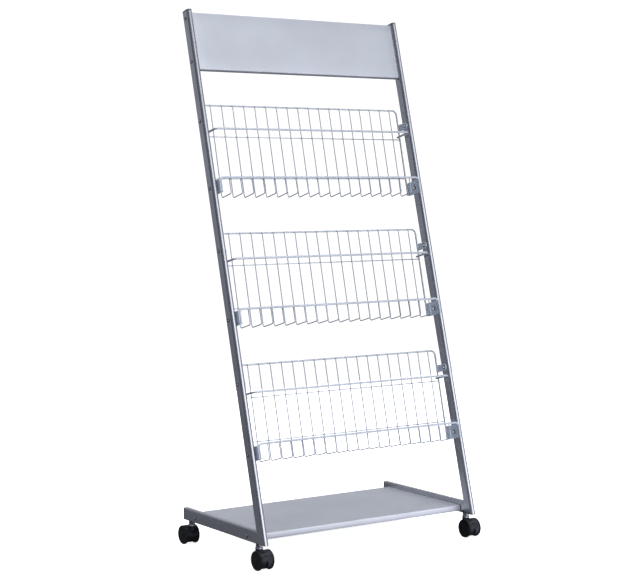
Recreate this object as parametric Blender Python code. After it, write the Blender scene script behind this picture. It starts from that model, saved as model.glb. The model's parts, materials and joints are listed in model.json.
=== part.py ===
"""Mobile brochure rack on castors.

Two leaning flat-oval tube uprights stand on two horizontal foot rails. A header panel, three welded
wire baskets and a base shelf are bolted between them, and each foot rail runs on two twin-wheel
castors, the front pair with brakes. X runs across the rack, +Y points to its back and Z points up.
"""
import math

import bmesh
import bpy
from mathutils import Matrix, Vector

# Frame, in metres
RACK_WIDTH = 0.640
TUBE_WIDTH = 0.015
TUBE_DEPTH = 0.030
FOOT_CORNER = 0.0026
FOOT_CORNER_LEAST = 0.0005
TUBE_WALL = 0.0015
LEAN = math.radians(15.1)
UPRIGHT_LENGTH = 1.305
FOOT_CLEARANCE = 0.059
FOOT_LENGTH = 0.370
CAP_THICKNESS = 0.004
CAP_PLUG_LENGTH = 0.012
GAP = 0.0003

# Header panel, placed along the uprights from their lower noses
SHEET = 0.0015
HEADER_BOTTOM = 1.1565
HEADER_TOP = 1.3020
HEADER_BOLTS = (1.1770, 1.2870)

# Baskets: heights are measured along the uprights from each basket's upper bracket bolt
BASKET_COUNT = 3
TOP_BASKET = 1.0270
BASKET_PITCH = 0.3221
LOWER_BOLT_DROP = 0.1680
BASKET_TOP = 0.0477
SECOND_WIRE = -0.0314
LOW_BACK_WIRE = -0.1366
UPPER_RAIL = -0.0240
LOWER_RAIL = -0.1460
BASKET_BOTTOM = -0.1848
WIRE_COUNT = 18
WIRE_PITCH = 0.0322
WIRE_RADIUS = 0.0013
RAIL_RADIUS = 0.0024
END_RADIUS = 0.0020
END_WIRE_X = 0.2990
BACK_DEPTH_TOP = 0.0338
BACK_DEPTH_BOTTOM = 0.0395
FRONT_DEPTH = -0.0050
WELD = 0.0004

# Bracket plates at the basket's corners
BRACKET_SHEET = 0.0015
LOBE_RADIUS = 0.0088
NOSE_HALF_HEIGHT = 0.0035
LOWER_PLATE_TOP = -0.1493
LOWER_PLATE_BOTTOM = -0.1838
BRACKET_BACK = 0.0415
BRACKET_BEND = (0.0285, 0.0335)
PLATE_CORNER = 0.0025

# Base shelf
SHELF_TOP = 0.0782
SHELF_FRONT = 0.0455
SHELF_BACK = 0.3490
SHELF_FLANGE = 0.0150
SHELF_BOLTS = (0.0750, 0.3150)
SHELF_BOLT_HEIGHT = 0.0712

# Bolts
BOLT_RADIUS = 0.0030
BOLT_HOLE_RADIUS = 0.0033
BOLT_HEAD_RADIUS = 0.0045
BOLT_HEAD_HEIGHT = 0.0012
BOLT_HEAD_EDGE = 0.0006
BOLT_NUT_RADIUS = 0.0048
BOLT_NUT_HEIGHT = 0.0025

# Castors, in their own frame: origin on the floor under the stem, +Y' towards the axle
WHEEL_RADIUS = 0.0235
WHEEL_SIDES = 20
CASTOR_HALF_WIDTH = 0.0185
RIM_WIDTH = 0.0045
RIM_BEVEL = 0.0014
TREAD_INNER_X = 0.0108
TREAD_RADIUS = 0.0212
WELL_RADIUS = 0.0218
HOOD_HALF_WIDTH = 0.0135
HOOD_RADIUS = 0.0231
HOOD_FLOOR_GAP = 0.0065
TRAIL = 0.0153
STEM_RADIUS = 0.004
STEM_TOP = 0.066
STEM_BOTTOM = 0.031
BOSS_RADIUS = 0.0091
BOSS_TOP = 0.0472
BOSS_FOOT = 0.030
COLLAR_HEIGHT = 0.0034
NUT_ACROSS_FLATS = 0.015
AXLE_RADIUS = 0.0025
FRONT_STEM_Y = 0.034
REAR_STEM_Y = 0.344

# Brake pedal of the front castors, as an arc around the axle
PEDAL_OUTER = 0.0242
PEDAL_INNER = 0.0202
PEDAL_ANGLES = (math.radians(-32.0), math.radians(8.0))
PEDAL_X = (-0.0090, -0.0010)
PEDAL_SLACK = 0.0006
POCKET_REACH = 0.004

# How far drills and cutters run past the faces they pierce
OVERSHOOT = 0.005

# The front wheels' treads and the rear wheels' treads are the model's front and back
CENTRE_Y = (FRONT_STEM_Y - TRAIL + REAR_STEM_Y + TRAIL) / 2
TUBE_X = (RACK_WIDTH - TUBE_WIDTH) / 2
INNER_X = RACK_WIDTH / 2 - TUBE_WIDTH
BRACKET_X = INNER_X - GAP - BRACKET_SHEET / 2
BOLT_AXIS_DEPTH = TUBE_DEPTH / 2


def clear_scene():
    """Remove every object that the scene starts with."""
    for existing in list(bpy.data.objects):
        bpy.data.objects.remove(existing, do_unlink=True)


def material(name, colour, roughness, metallic):
    """A Principled material."""
    made = bpy.data.materials.new(name)
    made.use_nodes = True
    shader = made.node_tree.nodes["Principled BSDF"]
    shader.inputs["Base Color"].default_value = (*colour, 1.0)
    shader.inputs["Roughness"].default_value = roughness
    shader.inputs["Metallic"].default_value = metallic
    return made


def place(name, mesh, finish, parent, location=(0, 0, 0), rotation=(0, 0, 0)):
    """One named object with its own material."""
    piece = bpy.data.objects.new(name, mesh)
    bpy.context.scene.collection.objects.link(piece)
    if not mesh.materials:
        mesh.materials.append(finish)
    piece.parent = parent
    piece.location = location
    piece.rotation_euler = rotation
    return piece


def frame(name, parent, location, rotation=(0, 0, 0)):
    """An empty that carries the pieces placed in its frame."""
    empty = bpy.data.objects.new(name, None)
    bpy.context.scene.collection.objects.link(empty)
    empty.parent = parent
    empty.location = location
    empty.rotation_euler = rotation
    return empty


def finish_mesh(bm, name, smooth_below=35.0):
    """Turn a bmesh into a mesh with outward faces, smooth where it is round."""
    bmesh.ops.recalc_face_normals(bm, faces=bm.faces)
    mesh = bpy.data.meshes.new(name)
    bm.to_mesh(mesh)
    bm.free()
    mesh.shade_smooth()
    mesh.set_sharp_from_angle(angle=math.radians(smooth_below))
    return mesh


def add_loft(bm, rings, closed=False):
    """Join rings of equal length with quads, and cap the ends unless the loft closes on itself."""
    rows = [[bm.verts.new(point) for point in ring] for ring in rings]
    pairs = list(zip(rows, rows[1:]))
    if closed:
        pairs.append((rows[-1], rows[0]))
    for low, high in pairs:
        for i, vert in enumerate(low):
            after = (i + 1) % len(low)
            bm.faces.new((vert, low[after], high[after], high[i]))
    if not closed:
        bm.faces.new(rows[0])
        bm.faces.new(rows[-1])


def loft(name, rings, closed=False):
    """A mesh lofted through rings."""
    bm = bmesh.new()
    add_loft(bm, rings, closed)
    return finish_mesh(bm, name)


def add_box(bm, low, high):
    """An axis-aligned box between two corners."""
    size = Vector(high) - Vector(low)
    middle = (Vector(high) + Vector(low)) / 2
    bmesh.ops.create_cube(bm, size=1.0, matrix=Matrix.Translation(middle) @ Matrix.Diagonal((*size, 1)))


def circle(radius, sides, start=0.0):
    """Points (a, b) of a regular polygon."""
    angles = [start + 2 * math.pi * i / sides for i in range(sides)]
    return [(radius * math.cos(a), radius * math.sin(a)) for a in angles]


def add_rod(bm, low, high, radius, axis, sides=10):
    """A rod from low to high along a main axis."""
    others = [i for i in range(3) if i != axis]
    rings = []
    for end in (low, high):
        ring = []
        for a, b in circle(radius, sides, math.pi / sides):
            point = list(end)
            point[others[0]] += a
            point[others[1]] += b
            ring.append(point)
        rings.append(ring)
    add_loft(bm, rings)


def oval(width, depth, steps=6):
    """Points (across, along) of a flat oval whose ends are half circles, centred on its middle."""
    radius = width / 2
    straight = depth / 2 - radius
    points = []
    for side in (1, -1):
        for i in range(steps + 1):
            angle = math.pi * i / steps + (0 if side > 0 else math.pi)
            points.append((radius * math.cos(angle), side * straight + radius * math.sin(angle)))
    return points


def upright_section(inset):
    """The upright's flat oval, drawn in from its outside by an inset."""
    return oval(TUBE_WIDTH - 2 * inset, TUBE_DEPTH - 2 * inset)


def foot_section(inset, steps=3):
    """The foot rail's rectangle with rounded corners, drawn in from its outside by an inset."""
    radius = max(FOOT_CORNER - inset, FOOT_CORNER_LEAST)
    across = TUBE_WIDTH / 2 - inset - radius
    along = TUBE_DEPTH / 2 - inset - radius
    corners = ((across, along), (-across, along), (-across, -along), (across, -along))
    points = []
    for quarter, (a, b) in enumerate(corners):
        for i in range(steps + 1):
            angle = math.pi / 2 * (quarter + i / steps)
            points.append((a + radius * math.cos(angle), b + radius * math.sin(angle)))
    return points


def boolean(mesh, tool, operation):
    """The exact Boolean of two meshes that share one frame, as a new mesh."""
    target = bpy.data.objects.new("target", mesh)
    cutter = bpy.data.objects.new("cutter", tool)
    for temporary in (target, cutter):
        bpy.context.scene.collection.objects.link(temporary)
    cutter.hide_render = True
    cutter.display_type = "WIRE"
    modifier = target.modifiers.new("boolean", "BOOLEAN")
    modifier.operation = operation
    modifier.solver = "EXACT"
    modifier.object = cutter
    evaluated = target.evaluated_get(bpy.context.evaluated_depsgraph_get())
    made = bpy.data.meshes.new_from_object(evaluated)
    made.name = mesh.name
    for temporary in (target, cutter):
        bpy.data.objects.remove(temporary, do_unlink=True)
    return made


def rods_mesh(name, rods, axis, radius, sides=8):
    """Several separate parallel rods in one mesh, for drilling."""
    bm = bmesh.new()
    for low, high in rods:
        add_rod(bm, low, high, radius, axis, sides)
    return finish_mesh(bm, name)


# Tubes ----------------------------------------------------------------------------------------

def tube_rings(at_start, at_end, section):
    """Rings of a hollow tube of one section: outside out, inside back."""
    outer = section(0.0)
    inner = section(TUBE_WALL)
    return [[at_start(*p) for p in outer], [at_end(*p) for p in outer],
            [at_end(*p) for p in inner], [at_start(*p) for p in inner]]


def upright_mesh(side):
    """Upright in the leaning frame (x, depth, height), cut level with the floor at its foot."""
    centre_x = side * TUBE_X

    def foot(across, along):
        depth = along + TUBE_DEPTH / 2
        return (centre_x + across, depth, depth * math.tan(LEAN))

    def head(across, along):
        return (centre_x + across, along + TUBE_DEPTH / 2, UPRIGHT_LENGTH)

    mesh = loft("upright", tube_rings(foot, head, upright_section), closed=True)
    holes = []
    for height in bolt_heights():
        low = (centre_x - TUBE_WIDTH, BOLT_AXIS_DEPTH, height)
        holes.append((low, (centre_x + TUBE_WIDTH, BOLT_AXIS_DEPTH, height)))
    return boolean(mesh, rods_mesh("drill", holes, 0, BOLT_HOLE_RADIUS), "DIFFERENCE")


def basket_height(index):
    """Height of a basket's upper bolt along the upright."""
    return TOP_BASKET - index * BASKET_PITCH


def bolt_heights():
    """Every bolt on one upright, from its foot up."""
    heights = list(HEADER_BOLTS)
    for index in range(BASKET_COUNT):
        heights.append(basket_height(index))
        heights.append(basket_height(index) - LOWER_BOLT_DROP)
    return sorted(heights)


def upright_clearance(side):
    """A solid slightly larger than an upright's foot, in the level frame, that copes the foot rail."""
    rings = []
    for height in (-TUBE_DEPTH, FOOT_CLEARANCE + TUBE_DEPTH):
        ring = []
        for across, along in oval(TUBE_WIDTH + 2 * GAP, TUBE_DEPTH + 2 * GAP):
            depth = TUBE_DEPTH / 2 + along
            y = height * math.sin(LEAN) + depth * math.cos(LEAN)
            z = FOOT_CLEARANCE + height * math.cos(LEAN) - depth * math.sin(LEAN)
            ring.append((side * TUBE_X + across, y, z))
        rings.append(ring)
    return loft("cope", rings)


def stem_holes(side):
    """Drills for the castor stems, in the level frame."""
    rods = []
    for y in (FRONT_STEM_Y, REAR_STEM_Y):
        low = (side * TUBE_X, y, FOOT_CLEARANCE - OVERSHOOT)
        rods.append((low, (side * TUBE_X, y, STEM_TOP + GAP)))
    return rods_mesh("stem_drill", rods, 2, STEM_RADIUS + GAP, 12)


def foot_rail_mesh(side):
    """Foot rail in the level frame: coped to the upright, drilled for shelf bolts and castor stems."""
    centre_z = FOOT_CLEARANCE + TUBE_DEPTH / 2

    def front(across, along):
        return (side * TUBE_X + across, TUBE_DEPTH / 2, centre_z + along)

    def rear(across, along):
        return (side * TUBE_X + across, FOOT_LENGTH, centre_z + along)

    mesh = loft("foot_rail", tube_rings(front, rear, foot_section), closed=True)
    mesh = boolean(mesh, upright_clearance(side), "DIFFERENCE")
    holes = []
    for y in SHELF_BOLTS:
        low = (side * TUBE_X - TUBE_WIDTH, y, SHELF_BOLT_HEIGHT)
        holes.append((low, (side * TUBE_X + TUBE_WIDTH, y, SHELF_BOLT_HEIGHT)))
    mesh = boolean(mesh, rods_mesh("drill", holes, 0, BOLT_HOLE_RADIUS), "DIFFERENCE")
    return boolean(mesh, stem_holes(side), "DIFFERENCE")


def cap_mesh(section):
    """Tube cap: a domed head over a plug, along +Z from the end of a tube of one section."""
    slack = TUBE_WALL + GAP
    profile = ((slack, -CAP_PLUG_LENGTH), (slack, GAP), (0.0, GAP), (0.0, CAP_THICKNESS - 0.0015),
               (0.0015, CAP_THICKNESS - 0.0004), (0.0040, CAP_THICKNESS))
    rings = []
    for inset, height in profile:
        rings.append([(a, b, height) for a, b in section(inset)])
    return loft("cap", rings)


# Sheet metal ----------------------------------------------------------------------------------

def tray_mesh(name, low, high, open_axis, open_side, drills):
    """Folded sheet tray: a box with one open face, drilled across X."""
    bm = bmesh.new()
    add_box(bm, low, high)
    mesh = finish_mesh(bm, name)
    inner_low = [value + SHEET for value in low]
    inner_high = [value - SHEET for value in high]
    if open_side > 0:
        inner_high[open_axis] = high[open_axis] + SHEET
    else:
        inner_low[open_axis] = low[open_axis] - SHEET
    bm = bmesh.new()
    add_box(bm, inner_low, inner_high)
    mesh = boolean(mesh, finish_mesh(bm, "hollow"), "DIFFERENCE")
    rods = []
    for side in (-1, 1):
        for depth, height in drills:
            low = (side * (INNER_X - OVERSHOOT), depth, height)
            rods.append((low, (side * (INNER_X + OVERSHOOT), depth, height)))
    return boolean(mesh, rods_mesh("drill", rods, 0, BOLT_HOLE_RADIUS), "DIFFERENCE")


def header_mesh():
    """Header panel in the leaning frame, its flanges folded back beside the tubes' flat faces."""
    front = TUBE_WIDTH / 2
    edge = INNER_X - GAP
    low = (-edge, front, HEADER_BOTTOM)
    high = (edge, TUBE_DEPTH - front, HEADER_TOP)
    drills = [(BOLT_AXIS_DEPTH, height) for height in HEADER_BOLTS]
    return tray_mesh("header_panel", low, high, 1, 1, drills)


def shelf_mesh():
    """Base shelf in the level frame, its flanges folded down between the foot rails."""
    edge = INNER_X - GAP
    low = (-edge, SHELF_FRONT, SHELF_TOP - SHELF_FLANGE)
    high = (edge, SHELF_BACK, SHELF_TOP)
    drills = [(y, SHELF_BOLT_HEIGHT) for y in SHELF_BOLTS]
    return tray_mesh("base_shelf", low, high, 2, -1, drills)


# Wire baskets ---------------------------------------------------------------------------------

def rounded(points, radius, steps):
    """Replace each inner corner of a path with an arc of the given radius."""
    path = [Vector(points[0])]
    for before, corner, after in zip(points, points[1:], points[2:]):
        corner = Vector(corner)
        back = (Vector(before) - corner).normalized()
        ahead = (Vector(after) - corner).normalized()
        half = back.angle(ahead) / 2
        centre = corner + (back + ahead).normalized() * radius / math.sin(half)
        start = corner + back * radius / math.tan(half) - centre
        end = corner + ahead * radius / math.tan(half) - centre
        for i in range(steps + 1):
            path.append(centre + start.slerp(end, i / steps).normalized() * radius)
    path.append(Vector(points[-1]))
    return path


def add_wire(bm, path, normal, radius, sides):
    """A round wire swept along a flat path, mitred at each of its points."""
    normal = Vector(normal)
    rings = []
    last = len(path) - 1
    for i, point in enumerate(path):
        arriving = (path[max(i, 1)] - path[max(i, 1) - 1]).normalized()
        leaving = (path[min(i, last - 1) + 1] - path[min(i, last - 1)]).normalized()
        along = (leaving + arriving).normalized()
        stretch = 1 / max(along.dot(arriving), 0.5)
        across = normal.cross(along).normalized() * stretch
        rings.append([point + normal * a + across * b for a, b in circle(radius, sides, math.pi / sides)])
    add_loft(bm, rings)


def wires_mesh(name, wires):
    """Several wires that don't touch each other, as one mesh."""
    bm = bmesh.new()
    for path, normal, radius, sides in wires:
        add_wire(bm, path, normal, radius, sides)
    return finish_mesh(bm, name, 50.0)


def back_depth(height):
    """Depth of the upright wires' centres at a height in the basket's frame."""
    share = (BASKET_TOP - height) / (BASKET_TOP - BASKET_BOTTOM)
    return BACK_DEPTH_TOP + share * (BACK_DEPTH_BOTTOM - BACK_DEPTH_TOP)


def j_wire(x):
    """One J wire: down the back, forward along the bottom and up to the lower front rail."""
    top = BASKET_TOP + 0.0010
    lip = LOWER_RAIL + 0.0014
    corners = [(x, back_depth(top), top), (x, back_depth(BASKET_BOTTOM), BASKET_BOTTOM),
               (x, FRONT_DEPTH, BASKET_BOTTOM), (x, FRONT_DEPTH, lip)]
    return (rounded(corners, 0.006, 1), (1, 0, 0), WIRE_RADIUS, 6)


def end_frame():
    """Back frame wire: an upside-down U whose legs are the basket's end verticals."""
    behind = WIRE_RADIUS + END_RADIUS - WELD
    foot = LOWER_PLATE_BOTTOM + 0.001
    slope = Vector((0, back_depth(foot) - back_depth(BASKET_TOP), foot - BASKET_TOP)).normalized()
    low = back_depth(foot) + behind
    high = back_depth(BASKET_TOP) + behind
    corners = [(-END_WIRE_X, low, foot), (-END_WIRE_X, high, BASKET_TOP),
               (END_WIRE_X, high, BASKET_TOP), (END_WIRE_X, low, foot)]
    return (rounded(corners, 0.012, 3), Vector((1, 0, 0)).cross(slope), END_RADIUS, 6)


def back_wire(height):
    """A thin horizontal behind the J wires, welded to the legs of the back frame."""
    depth = back_depth(height) + 2 * WIRE_RADIUS - WELD
    reach = END_WIRE_X
    return ([Vector((-reach, depth, height)), Vector((reach, depth, height))], (0, 0, 1), WIRE_RADIUS, 6)


def rail_depth():
    """Depth of the front rails' centres."""
    return FRONT_DEPTH - WIRE_RADIUS - RAIL_RADIUS + WELD


def upper_rail():
    """Upper front rail with its side arms, level across the basket and square to the uprights."""
    arm_x = END_WIRE_X - END_RADIUS - RAIL_RADIUS + WELD
    tail = back_depth(UPPER_RAIL) + 0.0075
    corners = [(-arm_x, tail, UPPER_RAIL), (-arm_x, rail_depth(), UPPER_RAIL),
               (arm_x, rail_depth(), UPPER_RAIL), (arm_x, tail, UPPER_RAIL)]
    return (rounded(corners, 0.010, 3), (0, 0, 1), RAIL_RADIUS, 6)


def lower_rail():
    """Lower front rail, its ends bent down along the front edges of the lower brackets."""
    leg_x = BRACKET_X - BRACKET_SHEET / 2 - RAIL_RADIUS + WELD
    foot = LOWER_PLATE_BOTTOM + 0.0005
    corners = [(-leg_x, rail_depth(), foot), (-leg_x, rail_depth(), LOWER_RAIL),
               (leg_x, rail_depth(), LOWER_RAIL), (leg_x, rail_depth(), foot)]
    return (rounded(corners, 0.008, 3), (0, 1, 0), RAIL_RADIUS, 6)


def strip_rings(side, stations):
    """Rings of a bent bracket strip: each station is (depth, x of its middle, low, high)."""
    half = BRACKET_SHEET / 2
    rings = []
    for depth, x, low, high in stations:
        rings.append([(side * (x - half), depth, low), (side * (x + half), depth, low),
                      (side * (x + half), depth, high), (side * (x - half), depth, high)])
    return rings


def bracket_strips(side):
    """The two brackets at one end of a basket, with the tails folded in to the end wire."""
    wing_x = END_WIRE_X + END_RADIUS + BRACKET_SHEET / 2 - WELD
    flat = BRACKET_X
    lobe = LOBE_RADIUS
    bend_start, bend_end = BRACKET_BEND
    upper = [(BOLT_AXIS_DEPTH - lobe, flat, -NOSE_HALF_HEIGHT, NOSE_HALF_HEIGHT)]
    for degrees in (-50, -25, 0):
        reach = lobe * math.cos(math.radians(degrees))
        upper.append((BOLT_AXIS_DEPTH + lobe * math.sin(math.radians(degrees)), flat, -reach, reach))
    upper += [(bend_start, flat, -lobe, lobe), (bend_end, wing_x, -lobe, lobe),
              (BRACKET_BACK, wing_x, -lobe, lobe)]
    nose = rail_depth() - GAP
    low, high = LOWER_PLATE_BOTTOM, LOWER_PLATE_TOP
    lower = [(nose, flat, low, high), (bend_start, flat, low, high), (bend_end, wing_x, low, high),
             (BRACKET_BACK - PLATE_CORNER, wing_x, low, high),
             (BRACKET_BACK, wing_x, low + PLATE_CORNER, high)]
    return strip_rings(side, upper), strip_rings(side, lower)


def brackets_mesh():
    """The four bracket plates of a basket, drilled for their bolts."""
    bm = bmesh.new()
    rods = []
    for side in (-1, 1):
        for strip in bracket_strips(side):
            add_loft(bm, strip)
        for height in (0.0, -LOWER_BOLT_DROP):
            rods.append(((side * (BRACKET_X - OVERSHOOT), BOLT_AXIS_DEPTH, height),
                         (side * (BRACKET_X + OVERSHOOT), BOLT_AXIS_DEPTH, height)))
    mesh = finish_mesh(bm, "brackets")
    return boolean(mesh, rods_mesh("drill", rods, 0, BOLT_HOLE_RADIUS), "DIFFERENCE")


def basket_mesh():
    """One welded basket around its upper bolts: frame, rails, J wires and brackets."""
    first = -(WIRE_COUNT - 1) / 2 * WIRE_PITCH
    j_wires = [j_wire(first + i * WIRE_PITCH) for i in range(WIRE_COUNT)]
    mesh = wires_mesh("wire_basket", [end_frame()])
    mesh = boolean(mesh, wires_mesh("backs", [back_wire(SECOND_WIRE), back_wire(LOW_BACK_WIRE)]), "UNION")
    mesh = boolean(mesh, wires_mesh("rails", [upper_rail(), lower_rail()]), "UNION")
    mesh = boolean(mesh, brackets_mesh(), "UNION")
    mesh = boolean(mesh, wires_mesh("j_wires", j_wires), "UNION")
    return mesh


# Fasteners ------------------------------------------------------------------------------------

def turned(name, profile, sides, start=0.0):
    """A solid turned about Z from (radius, height) points, with flat discs at its ends."""
    rings = []
    for radius, height in profile:
        rings.append([(a, b, height) for a, b in circle(radius, sides, start)])
    return loft(name, rings)


def bolt_mesh():
    """Bolt along +Z: dome head, shank and the flanged nut on its far end."""
    grip = TUBE_WIDTH + GAP + BRACKET_SHEET + 2 * GAP
    profile = ((BOLT_RADIUS, -BOLT_HEAD_HEIGHT), (BOLT_HEAD_RADIUS, -BOLT_HEAD_EDGE),
               (BOLT_HEAD_RADIUS, 0.0), (BOLT_RADIUS, 0.0), (BOLT_RADIUS, grip),
               (BOLT_NUT_RADIUS, grip), (BOLT_NUT_RADIUS, grip + BOLT_NUT_HEIGHT))
    return turned("bolt", profile, 8, math.pi / 8)


# Castors --------------------------------------------------------------------------------------

def wheel_wells():
    """The two spaces in the hood that the wheels' inner treads turn in, in the castor's frame."""
    rods = []
    for side in (-1, 1):
        start = (side * (TREAD_INNER_X - GAP), TRAIL, WHEEL_RADIUS)
        rods.append((start, (side * (HOOD_HALF_WIDTH + OVERSHOOT), TRAIL, WHEEL_RADIUS)))
    return rods_mesh("wells", rods, 0, WELL_RADIUS, WHEEL_SIDES)


def hood_mesh(braked):
    """Castor hood: a drum over the axle and the wheels' inner treads, with a boss for the stem."""
    drum = [(y + TRAIL, z + WHEEL_RADIUS) for y, z in circle(HOOD_RADIUS, WHEEL_SIDES, math.pi / WHEEL_SIDES)]
    drum = [(y, max(z, HOOD_FLOOR_GAP)) for y, z in drum]
    kept = [point for i, point in enumerate(drum) if point[1] > HOOD_FLOOR_GAP or
            drum[i - 1][1] > HOOD_FLOOR_GAP or drum[(i + 1) % len(drum)][1] > HOOD_FLOOR_GAP]
    rings = [[(x, y, z) for y, z in kept] for x in (-HOOD_HALF_WIDTH, HOOD_HALF_WIDTH)]
    mesh = loft("hood", rings)
    bm = bmesh.new()
    add_rod(bm, (0, 0, BOSS_FOOT), (0, 0, BOSS_TOP), BOSS_RADIUS, 2, 16)
    mesh = boolean(mesh, finish_mesh(bm, "boss"), "UNION")
    mesh = boolean(mesh, wheel_wells(), "DIFFERENCE")
    drill = ((0, 0, STEM_BOTTOM - GAP), (0, 0, BOSS_TOP + OVERSHOOT))
    mesh = boolean(mesh, rods_mesh("bore", [drill], 2, STEM_RADIUS + GAP, 12), "DIFFERENCE")
    reach = HOOD_HALF_WIDTH + OVERSHOOT
    axle = rods_mesh("axle_bore", [((-reach, TRAIL, WHEEL_RADIUS), (reach, TRAIL, WHEEL_RADIUS))], 0,
                     AXLE_RADIUS + GAP, 10)
    mesh = boolean(mesh, axle, "DIFFERENCE")
    if braked:
        mesh = boolean(mesh, pedal_shape("pocket", PEDAL_SLACK), "DIFFERENCE")
    return mesh


def pedal_shape(name, slack):
    """The brake pedal's arc around the axle, in the castor's frame; slack makes it the pocket."""
    inner = PEDAL_INNER - slack
    outer = PEDAL_OUTER + (POCKET_REACH if slack else 0.0)
    start = PEDAL_ANGLES[0] - slack / inner
    end = PEDAL_ANGLES[1] + slack / inner
    steps = 5
    angles = [start + (end - start) * i / steps for i in range(steps + 1)]
    outline = [(outer * math.cos(a), outer * math.sin(a)) for a in angles]
    outline += [(inner * math.cos(a), inner * math.sin(a)) for a in reversed(angles)]
    rings = []
    for x in (PEDAL_X[0] - slack, PEDAL_X[1] + slack):
        rings.append([(x, TRAIL + y, WHEEL_RADIUS + z) for y, z in outline])
    return loft(name, rings)


def pedal_pivot():
    """The pedal's pivot line, at its upper outer edge: (y, z) in the castor's frame."""
    angle = PEDAL_ANGLES[1]
    return (TRAIL + PEDAL_OUTER * math.cos(angle), WHEEL_RADIUS + PEDAL_OUTER * math.sin(angle))


def pedal_mesh():
    """Brake pedal with its pivot at the origin."""
    mesh = pedal_shape("brake_pedal", 0.0)
    y, z = pedal_pivot()
    mesh.transform(Matrix.Translation((0, -y, -z)))
    return mesh


def wheel_mesh(side):
    """Wheel about X with its origin on the axle: a wide tread, one flat down, and a rim disc outside."""
    shoulder = CASTOR_HALF_WIDTH - RIM_WIDTH
    corner = WHEEL_RADIUS / math.cos(math.pi / WHEEL_SIDES)
    bore = AXLE_RADIUS + GAP
    profile = ((bore, CASTOR_HALF_WIDTH - RIM_BEVEL), (bore, TREAD_INNER_X), (TREAD_RADIUS, TREAD_INNER_X),
               (TREAD_RADIUS, shoulder), (corner, shoulder), (corner, CASTOR_HALF_WIDTH - RIM_BEVEL),
               (corner - RIM_BEVEL, CASTOR_HALF_WIDTH))
    start = math.pi / 2 + math.pi / WHEEL_SIDES
    rings = []
    for radius, x in profile:
        rings.append([(side * x, a, b) for a, b in circle(radius, WHEEL_SIDES, start)])
    return loft("wheel", rings)


def axle_mesh():
    """Axle pin about X, through the hood and into both wheels."""
    reach = CASTOR_HALF_WIDTH - RIM_BEVEL - GAP
    return rods_mesh("axle", [((-reach, 0, 0), (reach, 0, 0))], 0, AXLE_RADIUS, 10)


def stem_mesh():
    """Castor stem: the pivot pin, the collar that rests on the hood's boss and the threaded end."""
    collar_low = BOSS_TOP + GAP
    collar_high = collar_low + COLLAR_HEIGHT
    profile = ((STEM_RADIUS, STEM_BOTTOM), (STEM_RADIUS, collar_low), (BOSS_RADIUS, collar_low),
               (BOSS_RADIUS, collar_high), (STEM_RADIUS, collar_high), (STEM_RADIUS, STEM_TOP))
    return turned("castor_stem", profile, 12)


def nut_mesh():
    """Hexagonal lock nut between the stem's collar and the foot rail."""
    low = BOSS_TOP + COLLAR_HEIGHT + 2 * GAP
    high = FOOT_CLEARANCE - GAP
    outside = hexagon_ring(NUT_ACROSS_FLATS / math.sqrt(3))
    bore = circle(STEM_RADIUS + GAP, 12)
    rings = []
    for points, height in ((outside, low), (outside, high), (bore, high), (bore, low)):
        rings.append([(a, b, height) for a, b in points])
    return loft("lock_nut", rings, closed=True)


def hexagon_ring(corner):
    """Twelve points around a hexagon: its corners and the middles of its sides."""
    points = []
    for i in range(12):
        reach = corner if i % 2 == 0 else corner * math.cos(math.pi / 6)
        points.append((reach * math.cos(math.pi * i / 6), reach * math.sin(math.pi * i / 6)))
    return points


# Assembly -------------------------------------------------------------------------------------

def build_frame(level, leaning, steel, plastic):
    """Uprights, foot rails and their caps."""
    for side, word in ((-1, "left"), (1, "right")):
        upright = upright_mesh(side)
        notch = stem_holes(side)
        notch.transform(leaning.matrix_basis.inverted())
        place(f"{word}_upright", boolean(upright, notch, "DIFFERENCE"), steel, leaning)
        place(f"{word}_foot_rail", foot_rail_mesh(side), steel, level)
        top = (side * TUBE_X, TUBE_DEPTH / 2, UPRIGHT_LENGTH)
        place(f"{word}_top_cap", cap_mesh(upright_section), plastic, leaning, top)
        rear = (side * TUBE_X, FOOT_LENGTH, FOOT_CLEARANCE + TUBE_DEPTH / 2)
        place(f"{word}_rear_cap", cap_mesh(foot_section), plastic, level, rear, (-math.pi / 2, 0, 0))


def build_bolts(level, leaning, zinc):
    """Every bolt, its head on the tube's outer face."""
    rows = [(f"header_bolt_{i + 1}", height) for i, height in enumerate(HEADER_BOLTS)]
    for index in range(BASKET_COUNT):
        rows.append((f"basket_{index + 1}_upper_bolt", basket_height(index)))
        rows.append((f"basket_{index + 1}_lower_bolt", basket_height(index) - LOWER_BOLT_DROP))
    mesh = bolt_mesh()
    outside = RACK_WIDTH / 2 + GAP
    for side, word in ((-1, "left"), (1, "right")):
        turn = (0, -side * math.pi / 2, 0)
        for name, height in rows:
            place(f"{word}_{name}", mesh, zinc, leaning, (side * outside, BOLT_AXIS_DEPTH, height), turn)
        for i, y in enumerate(SHELF_BOLTS):
            spot = (side * outside, y, SHELF_BOLT_HEIGHT)
            place(f"{word}_shelf_bolt_{i + 1}", mesh, zinc, level, spot, turn)


def build_castor(name, level, spot, braked, finishes):
    """One castor: fixed stem and nut, swivelling hood with its axle, two wheels and, in front, a brake."""
    turn = math.pi if braked else 0.0
    pivot = frame(f"{name}_swivel", level, (*spot, 0), (0, 0, turn))
    place(f"{name}_stem", stem_mesh(), finishes["zinc"], pivot)
    place(f"{name}_lock_nut", nut_mesh(), finishes["dark_steel"], pivot)
    place(f"{name}_hood", hood_mesh(braked), finishes["hood"], pivot)
    centre = (0, TRAIL, WHEEL_RADIUS)
    place(f"{name}_axle", axle_mesh(), finishes["zinc"], pivot, centre)
    outward = -1 if braked else 1
    for side, word in ((-1, "left"), (1, "right")):
        place(f"{name}_{word}_wheel", wheel_mesh(side * outward), finishes["wheel"], pivot, centre)
    if braked:
        y, z = pedal_pivot()
        place(f"{name}_brake_pedal", pedal_mesh(), finishes["hood"], pivot, (0, y, z))


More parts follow.
